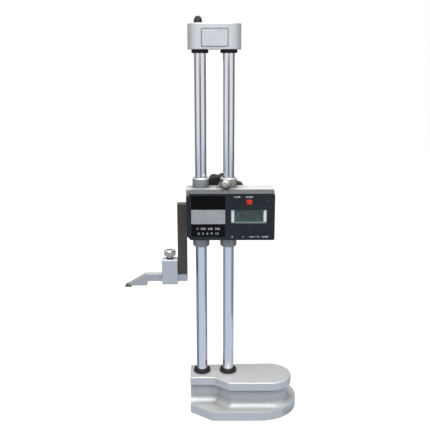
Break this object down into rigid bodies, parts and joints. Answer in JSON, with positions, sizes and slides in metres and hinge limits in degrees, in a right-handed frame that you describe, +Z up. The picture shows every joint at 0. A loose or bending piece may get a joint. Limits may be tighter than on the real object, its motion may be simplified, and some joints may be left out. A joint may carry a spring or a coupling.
{
  "type": "height gauge",
  "caption": "Height gauge on twin columns with a cast grip base, geared feed wheel, digital display slider and clamped carbide scriber.",
  "frame": {"origin": "underside of the base, midway between the two column axes", "axes": "+X along the pair of columns, away from the scriber; +Y towards the feed wheel; +Z up along the columns"},
  "size_m": [0.2212, 0.0854, 0.4974],
  "materials": {
    "cast_paint": "fine textured silver-grey paint on castings",
    "column_chrome": "ground and hard-chromed",
    "tool_steel": "machined steel",
    "rubber": "matt black rubber",
    "plaque": "satin plate with a thin dark frame line",
    "dark_cap": "dark brown oxide",
    "bronze": "plain bearing bronze",
    "housing_plastic": "fine-grained charcoal moulding",
    "inner_plastic": "plain moulding",
    "wheel_plastic": "fine-grained black moulding",
    "label_black": "gloss black film",
    "brushed_plate": "brushed along its length",
    "window": "clear window",
    "white_plastic": "white moulding",
    "lcd": "grey-green liquid crystal cell",
    "board": "green lacquered circuit board",
    "cell_steel": "bright pressed steel",
    "jaw_steel": "dark oiled steel, ground lengthwise",
    "ground_steel": "fine ground steel",
    "carbide": "ground tungsten carbide",
    "clamp_paint": "satin light blue-grey",
    "nickel": "bright nickel, straight knurl",
    "button_red": "red moulding",
    "button_black": "black moulding"
  },
  "bodies": {
    "stand": {"base_casting": "cast_paint", "left_column": "column_chrome", "right_column": "column_chrome", "rack_strip": "tool_steel", "column_bolts": "tool_steel", "lower_ring_left": "rubber", "lower_ring_right": "rubber", "upper_ring_left": "rubber", "upper_ring_right": "rubber", "top_bracket": "cast_paint", "bracket_plate": "plaque", "bracket_screws": "tool_steel", "cap_stud": "tool_steel", "cap_nut": "dark_cap"},
    "slider": {"slider_casting": "cast_paint", "lower_bush_left": "bronze", "lower_bush_right": "bronze", "upper_bush_left": "bronze", "upper_bush_right": "bronze", "clamp_pad": "bronze", "feed_bush_front": "bronze", "feed_bush_rear": "bronze", "encoder_bush_front": "bronze", "encoder_bush_rear": "bronze", "read_head": "inner_plastic", "display_housing": "housing_plastic", "housing_screws": "tool_steel", "label_panel": "label_black", "range_plate": "brushed_plate", "window_lens": "window", "lcd_frame": "white_plastic", "lcd_glass": "lcd", "contact_strips": "rubber", "circuit_board": "board", "board_screws": "tool_steel", "switches": "inner_plastic", "battery_tray": "inner_plastic", "coin_cell": "cell_steel", "jaw": "jaw_steel", "jaw_screws": "tool_steel"},
    "feed_drive": {"feed_shaft": "tool_steel", "feed_wheel": "wheel_plastic", "wheel_screw": "tool_steel"},
    "encoder": {"encoder_shaft": "tool_steel", "encoder_disc": "cell_steel"},
    "slider_clamp_screw": {"slider_clamp_screw": "nickel"},
    "scriber_clamp": {"scriber_clamp": "clamp_paint"},
    "scriber_clamp_screw": {"scriber_clamp_screw": "nickel"},
    "scriber": {"scriber_bar": "ground_steel", "carbide_tip": "carbide"},
    "power_button": {"power_button": "button_red"},
    "data_button": {"data_button": "button_black"},
    "battery_cover": {"battery_cover": "housing_plastic"},
    "function_button_1": {"function_button_1": "button_black"},
    "function_button_2": {"function_button_2": "button_black"},
    "function_button_3": {"function_button_3": "button_black"},
    "function_button_4": {"function_button_4": "button_black"}
  },
  "joints": [
    {"name": "slider_slide", "type": "slide", "parent": "stand", "child": "slider", "axis": [0, 0, 1], "range_m": [-0.16697, 0.1474]},
    {"name": "feed_wheel_turn", "type": "hinge", "parent": "slider", "child": "feed_drive", "pos_m": [0.0075, 0.026, 0.272], "axis": [0, 1, 0], "range_deg": [-2280, 2012]},
    {"name": "encoder_turn", "type": "hinge", "parent": "slider", "child": "encoder", "pos_m": [0.0075, -0.02, 0.25661], "axis": [0, 1, 0], "range_deg": [-2280, 2012]},
    {"name": "slider_clamp_turn", "type": "hinge", "parent": "slider", "child": "slider_clamp_screw", "pos_m": [0.017, 0, 0.302], "axis": [-0.2079, -0.9781, 0], "range_deg": [0, 360]},
    {"name": "scriber_clamp_slide", "type": "slide", "parent": "slider", "child": "scriber_clamp", "axis": [1, 0, 0], "range_m": [-0.008, 0]},
    {"name": "scriber_clamp_turn", "type": "hinge", "parent": "scriber_clamp", "child": "scriber_clamp_screw", "pos_m": [-0.05665, 0, 0.21], "axis": [0, 0, 1], "range_deg": [0, 360]},
    {"name": "scriber_slide", "type": "slide", "parent": "slider", "child": "scriber", "axis": [1, 0, 0], "range_m": [-0.02, 0.01]},
    {"name": "battery_cover_slide", "type": "slide", "parent": "slider", "child": "battery_cover", "axis": [1, 0, 0], "range_m": [0, 0.0225]},
    {"name": "power_button_press", "type": "slide", "parent": "slider", "child": "power_button", "axis": [0, 1, 0], "range_m": [0, 0.0005], "stiffness_N_per_m": 1500},
    {"name": "data_button_press", "type": "slide", "parent": "slider", "child": "data_button", "axis": [0, 1, 0], "range_m": [0, 0.0005], "stiffness_N_per_m": 1500},
    {"name": "function_button_1_press", "type": "slide", "parent": "slider", "child": "function_button_1", "axis": [0, 1, 0], "range_m": [0, 0.0005], "stiffness_N_per_m": 1500},
    {"name": "function_button_2_press", "type": "slide", "parent": "slider", "child": "function_button_2", "axis": [0, 1, 0], "range_m": [0, 0.0005], "stiffness_N_per_m": 1500},
    {"name": "function_button_3_press", "type": "slide", "parent": "slider", "child": "function_button_3", "axis": [0, 1, 0], "range_m": [0, 0.0005], "stiffness_N_per_m": 1500},
    {"name": "function_button_4_press", "type": "slide", "parent": "slider", "child": "function_button_4", "axis": [0, 1, 0], "range_m": [0, 0.0005], "stiffness_N_per_m": 1500}
  ],
  "couplings": [
    {"joint": "feed_wheel_turn", "follows": "slider_slide", "rad_per_m": 238.1},
    {"joint": "encoder_turn", "follows": "slider_slide", "rad_per_m": 238.1}
  ]
}
